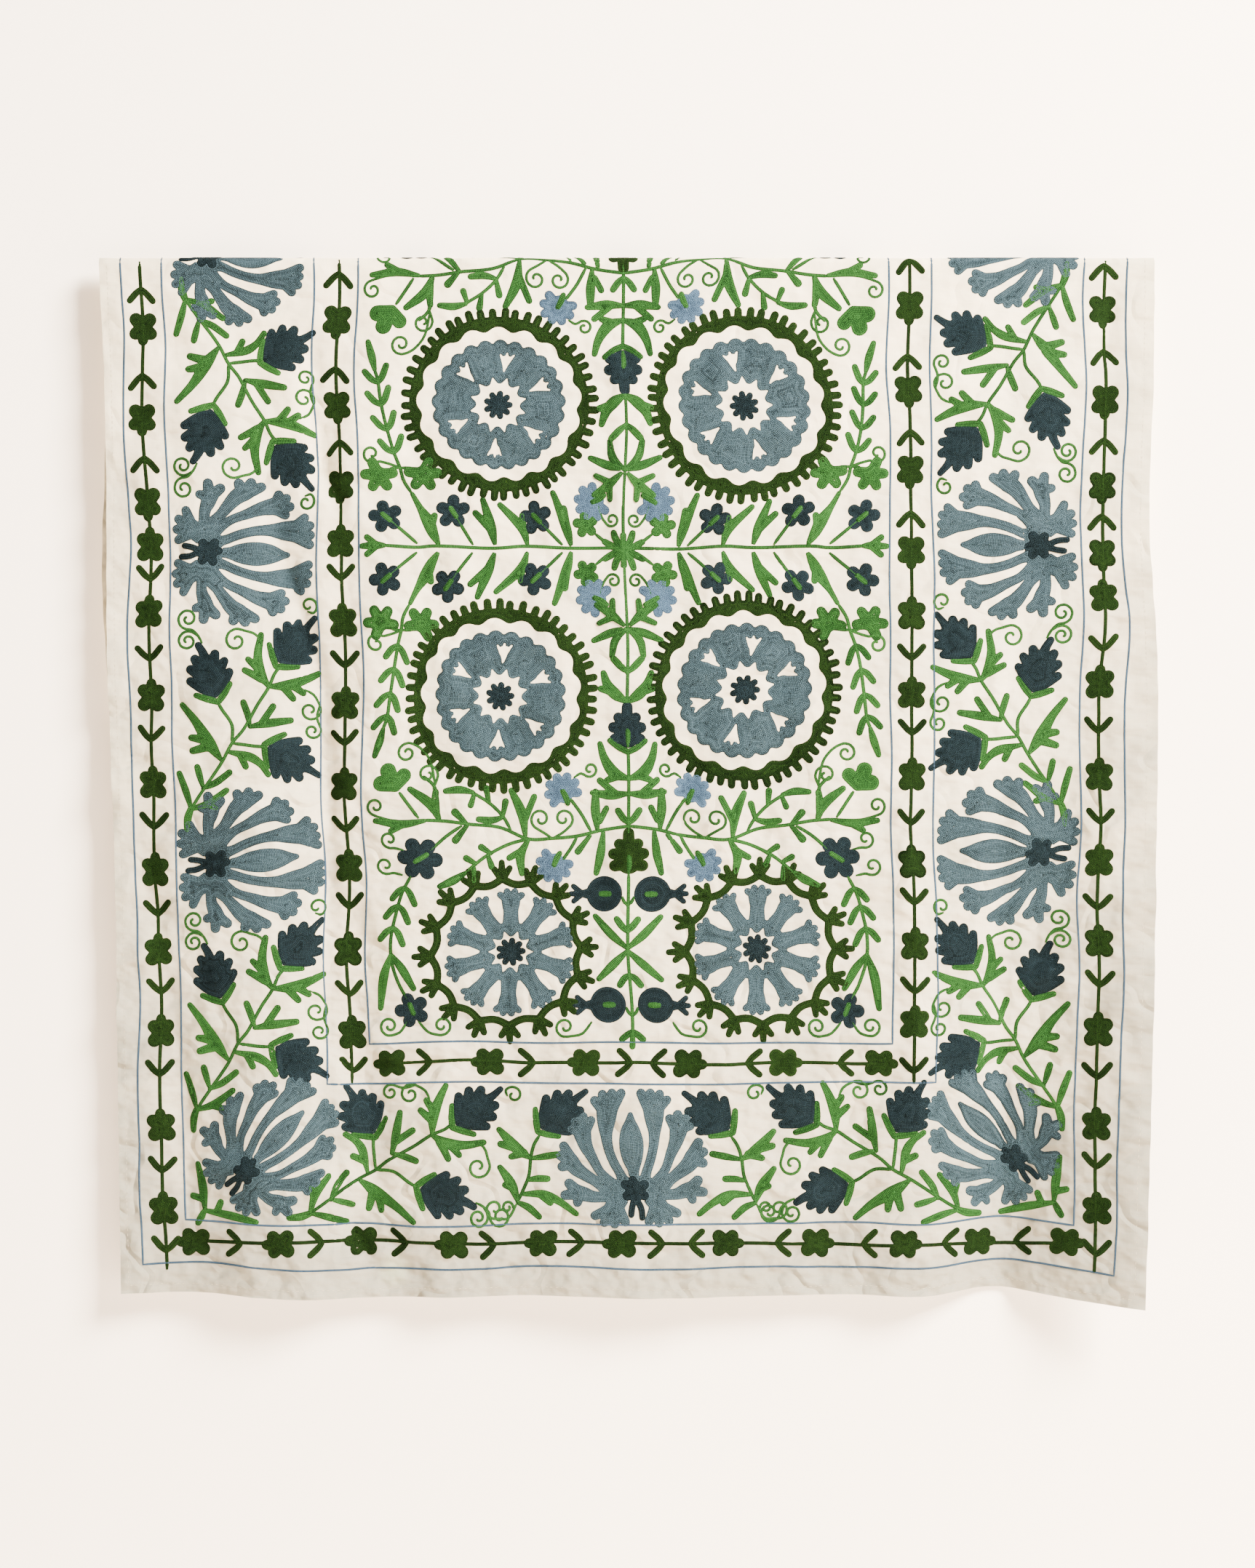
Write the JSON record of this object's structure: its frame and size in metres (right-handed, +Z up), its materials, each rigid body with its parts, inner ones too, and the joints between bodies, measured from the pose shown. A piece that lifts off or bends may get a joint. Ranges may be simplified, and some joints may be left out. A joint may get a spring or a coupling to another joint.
{
  "type": "suzani embroidered textile",
  "caption": "Embroidered cotton hanging with sawtooth medallions, palmette borders and vines, folded over at the top and hanging in soft folds.",
  "frame": {"origin": "middle of the fold at the top, on the inside of the cloth, where the rail touches it", "axes": "+X to the right across the width, -Y the way the embroidered face looks, +Z up"},
  "size_m": [1.8025, 0.1119, 1.7857],
  "materials": {
    "ground_cloth": "matt plain-woven undyed cotton",
    "thread_slate_blue": "soft lustre chain-stitched thread",
    "thread_navy": "soft lustre chain-stitched thread",
    "thread_leaf_green": "soft lustre chain-stitched thread",
    "thread_dark_green": "soft lustre chain-stitched thread"
  },
  "bodies": {
    "root": {"ground_cloth": "ground_cloth"}
  },
  "joints": []
}
